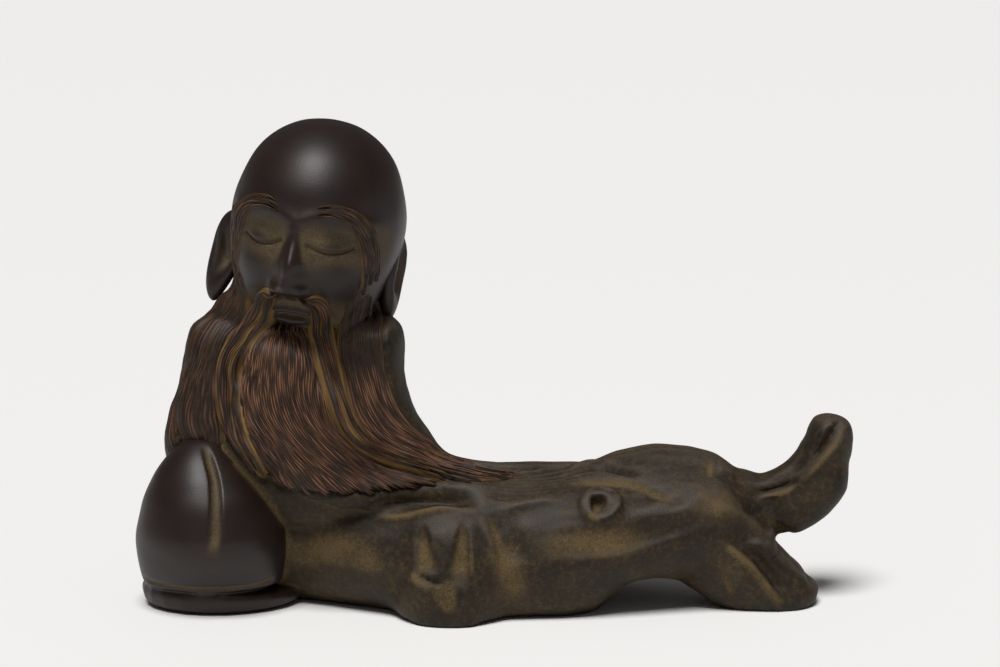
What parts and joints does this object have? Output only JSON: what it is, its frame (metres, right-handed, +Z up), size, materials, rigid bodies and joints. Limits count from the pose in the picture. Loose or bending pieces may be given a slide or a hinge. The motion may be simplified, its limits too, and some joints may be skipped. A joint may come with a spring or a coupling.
{
  "type": "clay figurine",
  "caption": "Unglazed dark clay table figurine: the bald head and sweeping beard of an old sage grow out of a fallen forked root, with a peach leaning on its left end.",
  "frame": {"origin": "on the table, under the middle of the figurine's bounding box", "axes": "+X along the root towards the forked end, -Y towards the front, +Z up"},
  "size_m": [0.1208, 0.0408, 0.082],
  "materials": {
    "rubbed_clay": "unglazed clay, rubbed to a soft sheen",
    "washed_clay": "unglazed clay, matt, with a thin ochre wash",
    "combed_clay": "unglazed clay, matt, combed into strands"
  },
  "bodies": {
    "root": {"root_log": "washed_clay", "torso": "washed_clay", "root_stump": "washed_clay", "upper_root": "washed_clay", "lower_branch": "washed_clay", "upper_branch": "washed_clay", "knot_ring": "washed_clay", "peach_pad": "rubbed_clay", "peach": "rubbed_clay", "head": "rubbed_clay", "left_ear": "rubbed_clay", "right_ear": "rubbed_clay", "beard": "combed_clay", "left_moustache": "combed_clay", "right_moustache": "combed_clay", "left_whisker": "combed_clay", "right_whisker": "combed_clay", "left_eyebrow": "combed_clay", "right_eyebrow": "combed_clay"}
  },
  "joints": []
}
